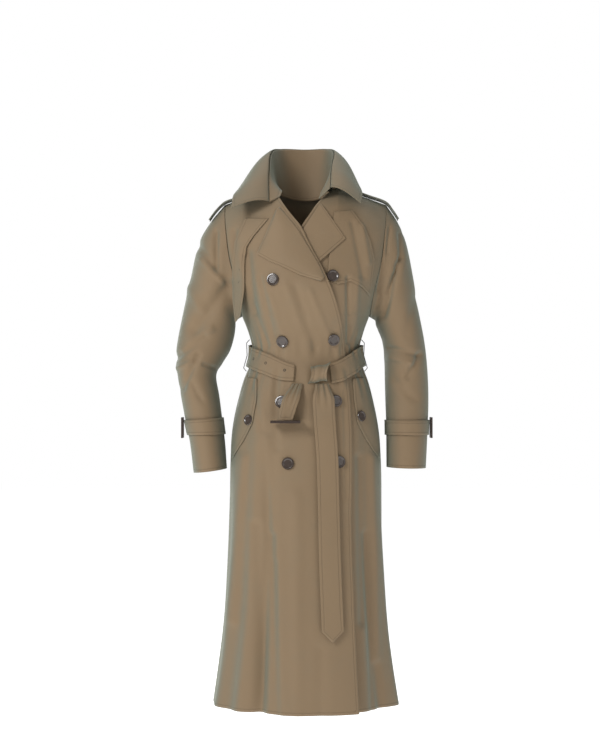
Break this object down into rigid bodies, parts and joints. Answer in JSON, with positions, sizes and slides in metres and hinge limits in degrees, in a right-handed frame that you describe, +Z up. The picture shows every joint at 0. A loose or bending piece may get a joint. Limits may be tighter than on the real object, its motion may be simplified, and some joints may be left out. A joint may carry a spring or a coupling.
{
  "type": "trench coat",
  "caption": "Long double-breasted trench coat, worn closed as a hollow form, with wide lapels, storm flap, shoulder and cuff straps and a tied belt.",
  "frame": {"origin": "middle of the neck, at the level where the shoulders carry the coat", "axes": "+Z up, the front faces -Y, +X towards the wearer's left"},
  "size_m": [0.5507, 0.35, 1.1904],
  "materials": {
    "gabardine": "closely woven two-tone khaki gabardine with a grey-green sheen",
    "horn": "polished dark horn",
    "leather": "dark brown covered leather",
    "thread": "twisted black thread"
  },
  "bodies": {
    "root": {"back": "gabardine", "belt_band": "gabardine", "belt_buckle": "leather", "belt_carrier_left": "thread", "belt_carrier_right": "thread", "belt_knot": "gabardine", "belt_long_end": "gabardine", "belt_short_end": "gabardine", "collar_leaf": "gabardine", "collar_stand": "gabardine", "cuff_buckle_left": "leather", "cuff_buckle_right": "leather", "cuff_strap_left": "gabardine", "cuff_strap_right": "gabardine", "front_button_left_1": "horn", "front_button_left_2": "horn", "front_button_left_3": "horn", "front_button_left_4": "horn", "front_button_right_1": "horn", "front_button_right_2": "horn", "front_button_right_3": "horn", "front_button_right_4": "horn", "front_left": "gabardine", "front_right": "gabardine", "lapel_left": "gabardine", "lapel_right": "gabardine", "pocket_button_left": "horn", "pocket_button_right": "horn", "pocket_flap_left": "gabardine", "pocket_flap_right": "gabardine", "shoulder_strap_left": "gabardine", "shoulder_strap_right": "gabardine", "sleeve_left": "gabardine", "sleeve_right": "gabardine", "storm_flap": "gabardine", "throat_latch": "gabardine"}
  },
  "joints": []
}
